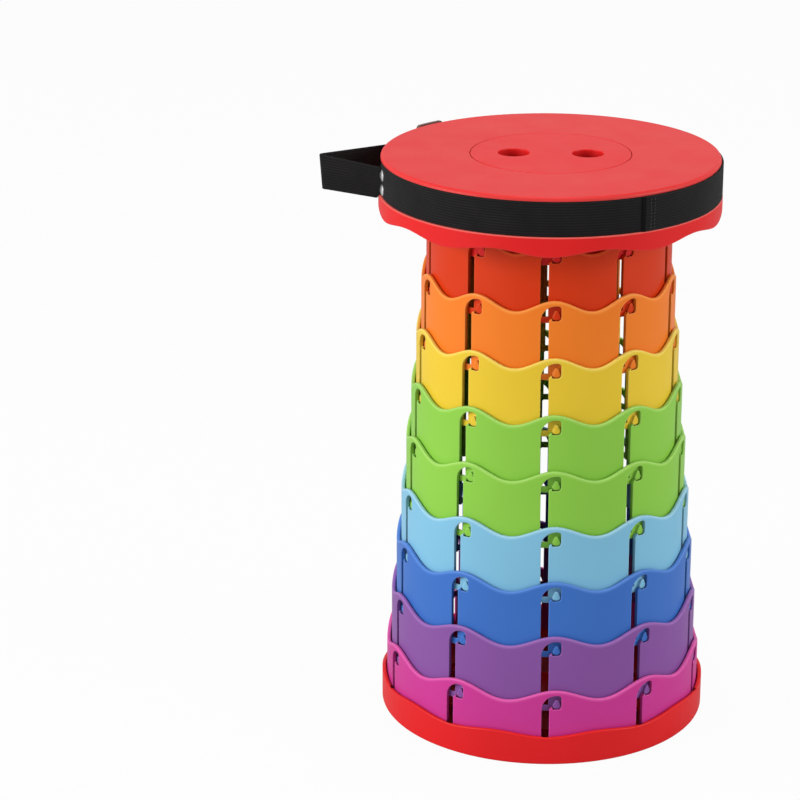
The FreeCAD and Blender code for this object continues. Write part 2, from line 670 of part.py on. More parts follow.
def make_strap_lap():
    """Outer layer of webbing, from its sewn end round the back and over the slider's middle bar."""
    inner = GROOVE_R + STRAP_T
    raised = slider_inner_r() + SLIDER_T + SLIDER_PLAY
    degree = math.degrees(1.0 / (inner + STRAP_T))
    low_reach = SLIDER_LENGTH / 2.0 - SLIDER_BAR
    high_reach = SLIDER_CENTRE_BAR / 2.0 + SLIDER_PLAY
    shift = STRAP_T * math.tan(math.atan2(raised - inner, low_reach - high_reach) / 2.0)
    end_deg = SLIDER_DEG + (SLIDER_LENGTH / 2.0 + LAP_PAST_SLIDER) * degree
    edges = []
    for up, less in ((0.0, 0.0), (STRAP_T, shift)):
        leave_deg = SLIDER_DEG - (low_reach + less) * degree
        top_deg = SLIDER_DEG - (high_reach + less) * degree
        fall_deg = 2.0 * SLIDER_DEG - top_deg
        land_deg = 2.0 * SLIDER_DEG - leave_deg
        edges.append(arc_in_plan(inner + up, LAP_START_DEG, leave_deg))
        edges.append(Part.makeLine(around(inner + up, leave_deg), around(raised + up, top_deg)))
        edges.append(arc_in_plan(raised + up, top_deg, fall_deg))
        edges.append(Part.makeLine(around(raised + up, fall_deg), around(inner + up, land_deg)))
        edges.append(arc_in_plan(inner + up, land_deg, end_deg))
    for angle in (LAP_START_DEG, end_deg):
        edges.append(Part.makeLine(around(inner, angle), around(inner + STRAP_T, angle)))
    face = Part.Face(Part.Wire(Part.__sortEdges__(edges)))
    face.translate(UP * STRAP_Z)
    return face.extrude(UP * STRAP_WIDTH)


def make_slider():
    """Flat slider on the strap: a rounded frame, bent to the seat, with a bar between two slots."""
    inner = slider_inner_r()
    slot_half = STRAP_WIDTH / 2.0 + SLIDER_SLOT_PLAY
    half_height = slot_half + SLIDER_BAR
    half_length = SLIDER_LENGTH / 2.0
    middle_z = STRAP_Z + STRAP_WIDTH / 2.0
    blank = Part.makeBox(SLIDER_LENGTH, SLIDER_T * 4.0, 2.0 * half_height)
    blank.translate(FreeCAD.Vector(-half_length, -inner - SLIDER_T * 3.0, middle_z - half_height))
    upright_corners = [edge for edge in blank.Edges if edge.BoundBox.YLength > SLIDER_T]
    blank = blank.makeFillet(SLIDER_CORNER_R, upright_corners)
    slot_near = SLIDER_CENTRE_BAR / 2.0
    slot_far = half_length - SLIDER_BAR
    slots = []
    for side in (-1, 1):
        slot = Part.makeBox(slot_far - slot_near, SLIDER_T * 8.0, 2.0 * slot_half)
        start = slot_near if side > 0 else -slot_far
        slot.translate(FreeCAD.Vector(start, -inner - SLIDER_T * 5.0, middle_z - slot_half))
        slots.append(slot)
    shell = tube(inner + SLIDER_T, inner, middle_z - half_height - 1.0, middle_z + half_height + 1.0)
    slider = blank.cut(slots).common(shell)
    outer_edges = []
    for edge in slider.Edges:
        ends = [math.hypot(vertex.Point.x, vertex.Point.y) for vertex in edge.Vertexes]
        if all(abs(radius - inner - SLIDER_T) < 0.01 for radius in ends):
            outer_edges.append(edge)
    slider = slider.makeFillet(SLIDER_EDGE_ROUND, outer_edges)
    return turned(slider, SLIDER_DEG)


def make_rivets():
    """Domed rivets through the webbing into the groove wall."""
    rivets = []
    seat_r = GROOVE_R + STRAP_T
    dome_r = (RIVET_HEAD_R ** 2 + RIVET_HEAD_T ** 2) / (2.0 * RIVET_HEAD_T)
    for angle, z in rivet_places():
        way = around(1.0, angle)
        lean = RIVET_LEAN_DEG if angle < 0.0 else -RIVET_LEAN_DEG
        shank = rivet_hole(angle, z)
        ball = Part.makeSphere(dome_r, around(seat_r + RIVET_HEAD_T - dome_r, angle, z))
        side = Part.makeCylinder(RIVET_HEAD_R, RIVET_HEAD_T * 2.0, around(seat_r - RIVET_SINK, angle, z), way)
        head = ball.common(side)
        head.rotate(around(seat_r, angle, z), UP, lean)
        head = head.cut(cylinder(seat_r, z - 2.0 * RIVET_HEAD_R, z + 2.0 * RIVET_HEAD_R))
        rivets.append(head.fuse(shank))
    return Part.makeCompound(rivets)


def save(shape, node):
    print(node, "solids", len(shape.Solids), "valid", shape.isValid(), "volume", round(shape.Volume, 1))
    shape.exportStep("parts/" + node + ".step")


os.makedirs("parts", exist_ok=True)
save(make_base(), "base_tray")
for number in range(1, RING_COUNT + 1):
    save(make_ring(number), "ring_" + str(number))
save(make_frame(), "seat_frame")
save(make_seat_top(), "seat_top")
save(make_cap(), "seat_cap")
save(make_screws(), "seat_screws")
save(make_strap_band(), "strap_band")
save(make_strap_lap(), "strap_lap")
save(make_handle(), "handle_loop")
save(make_rivets(), "handle_rivets")
save(make_slider(), "strap_slider")
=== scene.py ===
import math

import bpy
import numpy as np
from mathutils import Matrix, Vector


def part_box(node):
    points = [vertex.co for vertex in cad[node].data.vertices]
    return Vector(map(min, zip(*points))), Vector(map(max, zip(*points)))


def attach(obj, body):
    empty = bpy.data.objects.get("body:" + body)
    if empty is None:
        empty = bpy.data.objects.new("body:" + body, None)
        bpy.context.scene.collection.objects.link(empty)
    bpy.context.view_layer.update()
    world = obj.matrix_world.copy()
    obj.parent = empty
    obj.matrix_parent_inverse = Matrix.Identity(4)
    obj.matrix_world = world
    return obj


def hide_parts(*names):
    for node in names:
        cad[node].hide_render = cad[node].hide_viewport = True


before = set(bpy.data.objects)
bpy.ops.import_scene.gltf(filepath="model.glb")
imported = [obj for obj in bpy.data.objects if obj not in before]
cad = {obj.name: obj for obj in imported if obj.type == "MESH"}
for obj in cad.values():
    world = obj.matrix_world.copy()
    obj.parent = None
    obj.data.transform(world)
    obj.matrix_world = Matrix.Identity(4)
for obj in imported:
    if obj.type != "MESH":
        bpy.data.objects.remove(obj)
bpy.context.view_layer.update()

# ---- Base tray ----
# A shallow tray moulded in red plastic. Its rim waves gently, and the outermost ring of the leg
# stands in it. The plastic is satin, and its edges are painted a little lighter as a painted highlight.


def display(red, green, blue):
    """Colour from display values of 0 to 255: each is taken to linear light by the sRGB curve."""
    values = np.array([red, green, blue]) / 255.0
    linear = np.where(values <= 0.04045, values / 12.92, ((values + 0.055) / 1.055) ** 2.4)
    return (*[float(value) for value in linear], 1.0)


def link(tree, source, output, target, socket):
    tree.links.new(source.outputs[output], target.inputs[socket])


def noise(tree, place, scale, detail):
    """Noise texture on a vector socket, scale in waves per metre."""
    texture = tree.nodes.new("ShaderNodeTexNoise")
    texture.inputs["Scale"].default_value = scale
    texture.inputs["Detail"].default_value = detail
    tree.links.new(place, texture.inputs["Vector"])
    return texture


def remap(tree, value, low, high, to_low, to_high):
    """Straight-line change of range with clamped ends."""
    node = tree.nodes.new("ShaderNodeMapRange")
    node.inputs["From Min"].default_value = low
    node.inputs["From Max"].default_value = high
    node.inputs["To Min"].default_value = to_low
    node.inputs["To Max"].default_value = to_high
    tree.links.new(value, node.inputs["Value"])
    return node.outputs["Result"]


def calc(tree, operation, *values):
    """Maths node on numbers and sockets."""
    node = tree.nodes.new("ShaderNodeMath")
    node.operation = operation
    for index, value in enumerate(values):
        if isinstance(value, float):
            node.inputs[index].default_value = value
        else:
            tree.links.new(value, node.inputs[index])
    return node.outputs["Value"]


def blend_colours(tree, amount, first, second):
    """Mix of two colours, each a value or a socket, by a socket's amount."""
    node = tree.nodes.new("ShaderNodeMix")
    node.data_type = "RGBA"
    tree.links.new(amount, node.inputs["Factor"])
    for name, colour in (("A", first), ("B", second)):
        socket = [s for s in node.inputs if s.name == name and s.type == "RGBA"][0]
        if isinstance(colour, tuple):
            socket.default_value = colour
        else:
            tree.links.new(colour, socket)
    return [s for s in node.outputs if s.type == "RGBA"][0]


def moulded_plastic(name, colour, edge_highlight, sheen_rough=0.38, mirror=0.16, edge_r=0.00045):
    """Satin moulded plastic.

    The colour drifts by a few percent over a hand's width. It is painted lighter along edges, where the
    rounded normal leaves the flat one, as a painted highlight. It has a fine grain of about half a
    millimetre.
    """
    material = bpy.data.materials.new(name)
    material.use_nodes = True
    tree = material.node_tree
    shader = tree.nodes["Principled BSDF"]
    place = tree.nodes.new("ShaderNodeTexCoord").outputs["Object"]
    drift = noise(tree, place, 9.0, 2.0)
    deep = tuple(0.96 * part for part in colour[:3]) + (1.0,)
    body = blend_colours(tree, remap(tree, drift.outputs["Fac"], 0.35, 0.65, 0.0, 1.0), deep, colour)
    rounded = tree.nodes.new("ShaderNodeBevel")
    rounded.samples = 6
    rounded.inputs["Radius"].default_value = edge_r
    flat = tree.nodes.new("ShaderNodeNewGeometry")
    along = tree.nodes.new("ShaderNodeVectorMath")
    along.operation = "DOT_PRODUCT"
    link(tree, rounded, "Normal", along, 0)
    link(tree, flat, "Normal", along, 1)
    # Painted highlight: edges are painted lighter where the rounded normal leaves the flat one.
    edge = remap(tree, along.outputs["Value"], 0.86, 0.995, 0.7, 0.0)
    whole = blend_colours(tree, edge, body, edge_highlight)
    tree.links.new(whole, shader.inputs["Base Color"])
    polish = noise(tree, place, 38.0, 3.0)
    satin = remap(tree, polish.outputs["Fac"], 0.3, 0.7, sheen_rough - 0.03, sheen_rough + 0.03)
    tree.links.new(satin, shader.inputs["Roughness"])
    grain = noise(tree, place, 2100.0, 2.0)
    bump = tree.nodes.new("ShaderNodeBump")
    bump.inputs["Strength"].default_value = 0.22
    bump.inputs["Distance"].default_value = 0.00006
    link(tree, grain, "Fac", bump, "Height")
    link(tree, rounded, "Normal", bump, "Normal")
    link(tree, bump, "Normal", shader, "Normal")
    shader.inputs["Specular IOR Level"].default_value = mirror
    return material


def wear(node, material):
    """Gives a carried-over solid its finish."""
    slots = cad[node].data.materials
    slots.clear()
    slots.append(material)


# The second colour is the painted highlight along the tray's edges.
stool_red = moulded_plastic("stool_red", display(219, 30, 33), display(240, 84, 74))
wear("base_tray", stool_red)

# ---- Rings of the leg ----
# Nine thin-walled rings, moulded in rainbow colours, each with a wavy top edge and ten hooked
# slots. They nest in each other, and small lugs at each ring's foot hang in the next ring's hooks.



def painted_highlight_band(material, pale, strength, depth, top, rise=0.0, waves=0, crest_deg=0.0):
    """Paints a highlight: lightens a band on both sides of an edge that runs round the axis.

    At an angle a from the front the edge stands at top - rise / 2 * (1 - cos(waves * (a - crest))),
    and the band fades out at its depth above and below that.
    """
    tree = material.node_tree
    shader = tree.nodes["Principled BSDF"]
    parts = tree.nodes.new("ShaderNodeSeparateXYZ")
    tree.links.new(tree.nodes.new("ShaderNodeTexCoord").outputs["Object"], parts.inputs["Vector"])
    angle = calc(tree, "ARCTAN2", parts.outputs["X"], calc(tree, "MULTIPLY", parts.outputs["Y"], -1.0))
    turned = calc(tree, "SUBTRACT", angle, math.radians(crest_deg))
    swing = calc(tree, "COSINE", calc(tree, "MULTIPLY", turned, float(waves)))
    edge = calc(tree, "ADD", calc(tree, "MULTIPLY", swing, rise / 2.0), top - rise / 2.0)
    away = calc(tree, "ABSOLUTE", calc(tree, "SUBTRACT", edge, parts.outputs["Z"]))
    body = shader.inputs["Base Color"].links[0].from_socket
    whole = blend_colours(tree, remap(tree, away, 0.0, depth, strength, 0.0), body, pale)
    tree.links.new(whole, shader.inputs["Base Color"])


# Each ring: name, body colour, and the colour of the painted highlight on its edges and top rim.
ring_colours = [
    ("rust_red", (203, 53, 9), (240, 110, 52)),
    ("orange", (231, 121, 34), (252, 170, 88)),
    ("yellow", (223, 189, 49), (250, 226, 120)),
    ("upper_green", (134, 192, 68), (182, 226, 124)),
    ("lower_green", (134, 192, 68), (182, 226, 124)),
    ("light_blue", (123, 182, 210), (178, 218, 236)),
    ("blue", (58, 107, 186), (104, 150, 222)),
    ("purple", (129, 79, 151), (170, 120, 190)),
    ("magenta", (195, 54, 140), (236, 110, 184)),
]
rim_waves, rim_rise = 10, 0.0090
front_crest_deg, turn_per_ring_deg = 2.7, 0.29
for number, (name, colour, highlight_colour) in enumerate(ring_colours):
    node = f"ring_{number + 1}"
    plastic = moulded_plastic(name, display(*colour), display(*highlight_colour), edge_r=0.0011)
    crest_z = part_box(node)[1].z
    crest_at = front_crest_deg + turn_per_ring_deg * number
    # Painted highlight: a pale band along the wavy top edge, where light falls on the rounded rim.
    painted_highlight_band(plastic, display(*highlight_colour), 0.55, 0.0026, crest_z, rim_rise, rim_waves, crest_at)
    wear(node, plastic)

# ---- Seat frame ----
# The red moulding under the seat plate: a shell with a wavy skirt and a groove for the strap,
# and a collar in the middle that hangs in the first ring. Frame, plate and cap have a broader
# painted highlight along their edges, and the frame has a thin one along the skirt's shoulder.

seat_colour, seat_edge_highlight = display(213, 29, 30), display(246, 112, 100)
frame_red = moulded_plastic("frame_red", seat_colour, seat_edge_highlight, edge_r=0.0008)
# Painted highlight: a thin pale line along the skirt's shoulder just under the strap.
painted_highlight_band(frame_red, display(246, 140, 128), 0.5, 0.0009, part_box("strap_band")[0].z - 0.0002)
wear("seat_frame", frame_red)

# ---- Screws ----
# Five pan-head steel screws with a cross recess, driven from below into the plate's pillars.


def turned_metal(name, colour, rough):
    """Bright metal with a fine brushed grain across its height and faint blotches in its polish."""
    material = bpy.data.materials.new(name)
    material.use_nodes = True
    tree = material.node_tree
    shader = tree.nodes["Principled BSDF"]
    place = tree.nodes.new("ShaderNodeTexCoord").outputs["Object"]
    blotch = noise(tree, place, 420.0, 3.0)
    dull = tuple(0.72 * part for part in colour[:3]) + (1.0,)
    tone = blend_colours(tree, remap(tree, blotch.outputs["Fac"], 0.35, 0.7, 0.0, 1.0), colour, dull)
    tree.links.new(tone, shader.inputs["Base Color"])
    polish = remap(tree, blotch.outputs["Fac"], 0.3, 0.7, rough - 0.06, rough + 0.1)
    tree.links.new(polish, shader.inputs["Roughness"])
    stretch = tree.nodes.new("ShaderNodeMapping")
    stretch.inputs["Scale"].default_value = (1.0, 1.0, 9.0)
    tree.links.new(place, stretch.inputs["Vector"])
    grain = noise(tree, stretch.outputs["Vector"], 1500.0, 2.0)
    bump = tree.nodes.new("ShaderNodeBump")
    bump.inputs["Strength"].default_value = 0.15
    bump.inputs["Distance"].default_value = 0.00004
    link(tree, grain, "Fac", bump, "Height")
    link(tree, bump, "Normal", shader, "Normal")
    shader.inputs["Metallic"].default_value = 1.0
    return material


wear("seat_screws", turned_metal("screw_steel", display(168, 168, 172), 0.34))

# ---- Seat plate ----
# A round red plate with a soft rounded edge that caps the frame and overhangs the strap's groove.
# The edge is painted paler and duller than the top, most of all along its lower lip, as a painted
# highlight.

plate_red = moulded_plastic("plate_red", seat_colour, seat_edge_highlight, edge_r=0.0008)
plate_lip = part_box("strap_band")[1].z + 0.0001
# Painted highlight: a paler, duller band round the edge, strongest along the lower lip.
painted_highlight_band(plate_red, display(204, 64, 62), 0.7, 0.0024, plate_lip + 0.0012)
wear("seat_top", plate_red)

# ---- Centre cap ----
# A round red cover, flush in the plate, with two finger holes.

# Its edges are painted lighter, as a painted highlight.
wear("seat_cap", moulded_plastic("cap_red", seat_colour, seat_edge_highlight, edge_r=0.0008))

# ---- Strap round the seat and carry loop ----
# One closed length of black ribbed webbing. It lies in the groove round the seat, leaves it at
# two riveted roots on the left, and folds at the tip of the loop.

webbing_t = 0.0013
webbing_ribs = 13
strap_low, strap_high = (corner.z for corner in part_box("strap_band"))
groove_r = 0.1229
band_r = groove_r + webbing_t / 2.0


def on_circle(radius, degrees):
    """Points in plan at angles counted from the front towards the right."""
    angle = np.radians(degrees)
    return np.stack([radius * np.sin(angle), -radius * np.cos(angle)], axis=-1)


def softened(corners, radii, step):
    """Line in plan through corner points, each inner corner an arc that meets its runs smoothly.

    An arc's centre stands its radius to the side of the run that comes in, and its points turn
    about that centre from the run's direction to the next one's.
    """
    runs = []
    start = corners[0]
    for before, here, after, radius in zip(corners, corners[1:], corners[2:], radii):
        way_in = (here - before) / np.linalg.norm(here - before)
        way_out = (after - here) / np.linalg.norm(after - here)
        turn = math.atan2(way_in[0] * way_out[1] - way_in[1] * way_out[0], way_in @ way_out)
        reach = radius * math.tan(abs(turn) / 2.0)
        enter = here - way_in * reach
        side = math.copysign(1.0, turn)
        left = np.array([-way_in[1], way_in[0]])
        centre = enter + left * side * radius
        count = max(2, int(np.linalg.norm(enter - start) / step))
        runs.append(start + np.linspace(0.0, 1.0, count, endpoint=False)[:, None] * (enter - start))
        swing = np.linspace(0.0, turn, max(6, int(radius * abs(turn) / step) + 2))[:-1, None]
        spoke = enter - centre
        across = np.array([-spoke[1], spoke[0]])
        runs.append(centre + np.cos(swing) * spoke + np.sin(swing) * across)
        start = here + way_out * reach
    count = max(2, int(np.linalg.norm(corners[-1] - start) / step))
    runs.append(start + np.linspace(0.0, 1.0, count, endpoint=False)[:, None] * (corners[-1] - start))
    return np.concatenate(runs)


def ribbed_section(width, thickness, ribs, per_rib=6):
    """Closed cross-section of ribbed webbing, as offsets across its thickness and along its width.

    Both faces swell by a cosine once per rib, and the two long edges close in a half round.
    """
    depth = 0.04 * thickness
    rise = np.linspace(0.0, 1.0, ribs * per_rib + 1)
    edge = np.clip(np.minimum(rise, 1.0 - rise) * width / (0.45 * thickness), 0.0, 1.0)
    half = thickness / 2.0 - depth * (0.5 + 0.5 * np.cos(2.0 * np.pi * ribs * rise))
    half = half * np.sqrt(1.0 - (1.0 - edge) ** 2 * 0.85)
    outer = np.stack([half, rise * width], axis=-1)
    inner = np.stack([-half, rise * width], axis=-1)[::-1]
    return np.concatenate([outer, inner])


def swept_webbing(name, path, section, low, closed, lean=None, sag=None, swell=None):
    """Webbing carried along a line in plan.

    Each point of the line gets the cross-section on its own normal, which points to the right of
    the way the line runs. lean is how far the upper edge stands from the lower one in plan, sag
    is how far the lower and the upper edge hang, and swell thickens the webbing. The map runs in
    metres along and across the webbing.
    """
    if closed:
        ahead = np.roll(path, -1, axis=0) - np.roll(path, 1, axis=0)
    else:
        ahead = np.gradient(path, axis=0)
    ahead /= np.linalg.norm(ahead, axis=1)[:, None]
    outward = np.stack([ahead[:, 1], -ahead[:, 0]], axis=-1)
    count, around = len(path), len(section)
    off = np.broadcast_to(section[:, 0], (count, around)).copy()
    if swell is not None:
        off *= swell[:, None]
    plan = path[:, None, :] + off[:, :, None] * outward[:, None, :]
    if lean is not None:
        plan = plan + lean[:, None, :] * (section[:, 1] / section[:, 1].max() - 0.5)[None, :, None]
    height = np.broadcast_to(low + section[:, 1], (count, around))
    if sag is not None:
        upper = section[:, 1] / section[:, 1].max()
        height = height - sag[:, :1] * (1.0 - upper) - sag[:, 1:] * upper
    points = np.concatenate([plan, height[:, :, None]], axis=-1).reshape(-1, 3)
    rows = count if closed else count - 1
    row, column = np.meshgrid(np.arange(rows), np.arange(around), indexing="ij")
    following = (row + 1) % count
    beside = (column + 1) % around
    quads = np.stack([row * around + column, following * around + column,
                      following * around + beside, row * around + beside], axis=-1).reshape(-1, 4)
    faces = quads.tolist()
    if not closed:
        faces.append(list(range(around)))
        faces.append(list(range((count - 1) * around, count * around))[::-1])
    mesh = bpy.data.meshes.new(name)
    mesh.from_pydata(points.tolist(), [], faces)
    stretch = np.linalg.norm(np.diff(np.concatenate([path, path[:1]]), axis=0), axis=1)
    along = np.concatenate([[0.0], np.cumsum(stretch)])
    corners_u = np.stack([along[row], along[row + 1], along[row + 1], along[row]], axis=-1).reshape(-1)
    corners_v = section[:, 1][np.stack([column, column, beside, beside], axis=-1).reshape(-1)]
    uv = np.zeros((len(mesh.loops), 2), np.float32)
    uv[: len(corners_u), 0] = corners_u
    uv[: len(corners_u), 1] = corners_v
    mesh.uv_layers.new(name="along").data.foreach_set("uv", uv.reshape(-1))
    mesh.polygons.foreach_set("use_smooth", np.ones(len(faces), bool))
    mesh.update()
    piece = bpy.data.objects.new(name, mesh)
    bpy.context.scene.collection.objects.link(piece)
    return piece


def woven(name, colour, pale, width, ribs, hem_shade_run=0.0):
    """Black elastic webbing.

    It has a crosswise pick every 0.8 mm, half a pick out of step on each next rib, over fine fuzz.
    The ribs' crests and picks are painted paler than the furrows between them: painted highlight and
    painted shade. The first part of its length, over the given run, is painted darker as a painted
    shadow.
    """
    material = bpy.data.materials.new(name)
    material.use_nodes = True
    tree = material.node_tree
    shader = tree.nodes["Principled BSDF"]
    mapped = tree.nodes.new("ShaderNodeUVMap")
    mapped.uv_map = "along"
    parts = tree.nodes.new("ShaderNodeSeparateXYZ")
    link(tree, mapped, "UV", parts, "Vector")

    rib = calc(tree, "MULTIPLY", parts.outputs["Y"], ribs / width)
    phase = calc(tree, "MULTIPLY", calc(tree, "FLOOR", calc(tree, "MULTIPLY", rib, 2.0)), math.pi)
    picks = calc(tree, "MULTIPLY", parts.outputs["X"], 2.0 * math.pi / 0.0008)
    pick = calc(tree, "SINE", calc(tree, "ADD", picks, phase))
    crest = calc(tree, "COSINE", calc(tree, "MULTIPLY", rib, 2.0 * math.pi))
    place = tree.nodes.new("ShaderNodeTexCoord").outputs["Object"]
    fuzz = noise(tree, place, 3200.0, 3.0)
    shade = noise(tree, place, 55.0, 2.0)
    # Painted light: crests of ribs and picks painted paler and the furrows between them darker as
    # painted shade. Noise varies it at random.
    crown = remap(tree, crest, -1.0, 1.0, 1.0, 0.0)
    lit = calc(tree, "MULTIPLY", crown, remap(tree, pick, -1.0, 1.0, 0.45, 1.0))
    lit = calc(tree, "MULTIPLY", lit, remap(tree, shade.outputs["Fac"], 0.3, 0.7, 0.35, 1.0))
    colour_out = blend_colours(tree, lit, colour, pale)
    if hem_shade_run:
        # Painted shadow: the first part of the length, at the lap's sewn end, is painted darker.
        hem_shade = remap(tree, parts.outputs["X"], 0.6 * hem_shade_run, hem_shade_run, 1.0, 0.0)
        dark = tuple(0.2 * part for part in colour[:3]) + (1.0,)
        colour_out = blend_colours(tree, hem_shade, colour_out, dark)
    tree.links.new(colour_out, shader.inputs["Base Color"])
    soft = calc(tree, "MULTIPLY", fuzz.outputs["Fac"], 0.8)
    relief = calc(tree, "ADD", calc(tree, "MULTIPLY", pick, 0.5), soft)
    bump = tree.nodes.new("ShaderNodeBump")
    bump.inputs["Strength"].default_value = 0.55
    bump.inputs["Distance"].default_value = 0.00012
    tree.links.new(relief, bump.inputs["Height"])
    link(tree, bump, "Normal", shader, "Normal")
    shader.inputs["Roughness"].default_value = 0.74
    shader.inputs["Sheen Weight"].default_value = 0.05
    shader.inputs["Sheen Roughness"].default_value = 0.5
    shader.inputs["Sheen Tint"].default_value = (0.8, 0.8, 0.85, 1.0)
    shader.inputs["Specular IOR Level"].default_value = 0.12
    return material


strap_width = strap_high - strap_low
# Furrow colour, and the paler colour of the painted highlight on the rib crests.
furrow, rib_crest_highlight = display(10, 9, 9), display(35, 32, 32)
black_webbing = woven("black_webbing", furrow, rib_crest_highlight, strap_width, webbing_ribs)
flat_section = ribbed_section(strap_width, webbing_t, webbing_ribs)

front_root_deg, back_root_deg = -79.6, 254.3
root_run = 0.0014
loop_tip = np.array([-0.1703, -0.0030])
front_leaves = on_circle(band_r, front_root_deg)
back_leaves = on_circle(band_r, back_root_deg)
front_root = front_leaves - on_circle(root_run, front_root_deg + 90.0)
back_root = back_leaves + on_circle(root_run, back_root_deg + 90.0)
round_seat = on_circle(band_r, np.linspace(front_root_deg, back_root_deg, 340, endpoint=False))
loop_line = softened([back_leaves, back_root, loop_tip, front_root, front_leaves],
                     [0.0022, 0.0026, 0.0022], 0.0009)
strap_line = np.concatenate([round_seat, loop_line])
beyond = np.linalg.norm(strap_line, axis=1) - band_r
out_of_seat = np.clip(beyond / 0.040, 0.0, 1.0)
front_leg = (1.0 - out_of_seat) * (strap_line[:, 1] < loop_tip[1])
at_root = np.clip(beyond / 0.0016, 0.0, 1.0) * front_leg
past_shoulder = np.clip((beyond - 0.0022) / 0.0014, 0.0, 1.0) * front_leg
tip_lean, root_lean = np.array([-0.0022, 0.0032]), np.array([0.0, -0.0020])
loop_lean = out_of_seat[:, None] * tip_lean + at_root[:, None] * root_lean
loop_sag = np.stack([0.0028 * past_shoulder, 0.0040 * at_root], axis=-1)
strap = swept_webbing("strap_and_loop", strap_line, flat_section, strap_low, True,
                      lean=loop_lean, sag=loop_sag)
strap.data.materials.append(black_webbing)
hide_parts("strap_band", "handle_loop")
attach(strap, "seat")

# ---- Outer layer of the strap ----
# The same webbing laps back on itself round the right and the back. Its end is folded under and
# sewn down at the front right, and its other end runs over the slider's middle bar.

lap_start_deg, slider_deg = 31.3, 226.9
lap_r = groove_r + 1.5 * webbing_t
slider_t, slider_play = 0.0026, 0.0002
per_degree = math.radians(lap_r + webbing_t / 2.0)
lap_end_deg = slider_deg + (0.0130 + 0.0100) / per_degree
lap_deg = np.concatenate([
    np.linspace(lap_start_deg, slider_deg - 8.0, 190, endpoint=False),
    np.linspace(slider_deg - 8.0, lap_end_deg, 110),
])
from_slider = np.abs(lap_deg - slider_deg) * per_degree
over_bar = np.clip((0.0096 - from_slider) / (0.0096 - 0.0022), 0.0, 1.0)
over_bar = over_bar * over_bar * (3.0 - 2.0 * over_bar)
lap_height = (groove_r + 2.0 * webbing_t + 2.0 * slider_play + slider_t) - (groove_r + webbing_t)
hem_run = (lap_deg - lap_start_deg) * per_degree
hem_fold = 0.5 - 0.5 * np.tanh((hem_run - 0.0125) / 0.0012)
lap_line = on_circle(lap_r + over_bar * lap_height + hem_fold * 0.0001, lap_deg)
lap = swept_webbing("strap_lap_webbing", lap_line, flat_section, strap_low, False,
                    swell=1.0 + 0.15 * hem_fold)
# Its first 2.4 mm carry a painted shadow by the sewn end.
lap_webbing = woven("lap_webbing", furrow, rib_crest_highlight, strap_width, webbing_ribs, 0.0024)
lap.data.materials.append(lap_webbing)
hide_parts("strap_lap")
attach(lap, "seat")

# ---- Hem stitches ----
# Two rows of black thread across the sewn end, each stitch a short raised loop of thread that
# dips into the webbing at both ends.


def stitch_rows(name, rows_deg, face_r, low, high, count, thread_r):
    """Rows of upright stitches on the strap's face.

    Along a stitch the thread's middle follows half a sine wave out of the face, and its round
    section is carried along that line.
    """
    steps, sides = 7, 8
    part = np.linspace(0.0, 1.0, steps)
    turn = np.linspace(0.0, 2.0 * np.pi, sides, endpoint=False)
    pitch = (high - low) / count
    lows = low + pitch * (np.arange(count) + 0.14)
    lift = np.sin(np.pi * part) * thread_r * 1.3 - thread_r * 0.5
    slim = 0.45 + 0.55 * np.sin(np.pi * part) ** 0.5
    deg, start, along, around = np.meshgrid(
        np.array(rows_deg), lows, np.arange(steps), np.arange(sides), indexing="ij")
    out = face_r + lift[along] + thread_r * slim[along] * np.cos(turn[around])
    side = thread_r * slim[along] * np.sin(turn[around])
    angle = np.radians(deg) + side / face_r
    height = start + pitch * 0.72 * part[along]
    points = np.stack([out * np.sin(angle), -out * np.cos(angle), height], axis=-1).reshape(-1, 3)
    stitches = len(rows_deg) * count
    base = np.arange(stitches)[:, None, None] * steps * sides
    row, column = np.meshgrid(np.arange(steps - 1), np.arange(sides), indexing="ij")
    beside = (column + 1) % sides
    quads = np.stack([row * sides + column, row * sides + beside,
                      (row + 1) * sides + beside, (row + 1) * sides + column], axis=-1)
    faces = (base[..., None] + quads.reshape(1, -1, 1, 4)).reshape(-1, 4).tolist()
    for first in range(0, stitches * steps * sides, steps * sides):
        faces.append(list(range(first, first + sides))[::-1])
        faces.append(list(range(first + (steps - 1) * sides, first + steps * sides)))
    mesh = bpy.data.meshes.new(name)
    mesh.from_pydata(points.tolist(), [], faces)
    mesh.polygons.foreach_set("use_smooth", np.ones(len(faces), bool))
    mesh.update()
    piece = bpy.data.objects.new(name, mesh)
    bpy.context.scene.collection.objects.link(piece)
    return piece


def spun_thread(name, colour):
    """Black polyester thread with a fine twist across its length and a soft gloss."""
    material = bpy.data.materials.new(name)
    material.use_nodes = True
    tree = material.node_tree
    shader = tree.nodes["Principled BSDF"]
    place = tree.nodes.new("ShaderNodeTexCoord").outputs["Object"]
    twist = tree.nodes.new("ShaderNodeTexWave")
    twist.bands_direction = "DIAGONAL"
    twist.inputs["Scale"].default_value = 900.0
    twist.inputs["Distortion"].default_value = 1.0
    tree.links.new(place, twist.inputs["Vector"])
    dark = tuple(0.5 * part for part in colour[:3]) + (1.0,)
    tree.links.new(blend_colours(tree, twist.outputs["Fac"], dark, colour), shader.inputs["Base Color"])
    bump = tree.nodes.new("ShaderNodeBump")
    bump.inputs["Strength"].default_value = 0.5
    bump.inputs["Distance"].default_value = 0.00005
    link(tree, twist, "Fac", bump, "Height")
    link(tree, bump, "Normal", shader, "Normal")
    shader.inputs["Roughness"].default_value = 0.5
    return material


hem_face_r = groove_r + 2.0 * webbing_t + 0.00012
stitches = stitch_rows("hem_stitches", (34.0, 35.4), hem_face_r, strap_low + 0.0012,
                       strap_high - 0.0012, 9, 0.00028)
stitches.data.materials.append(spun_thread("black_thread", display(46, 43, 45)))
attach(stitches, "seat")

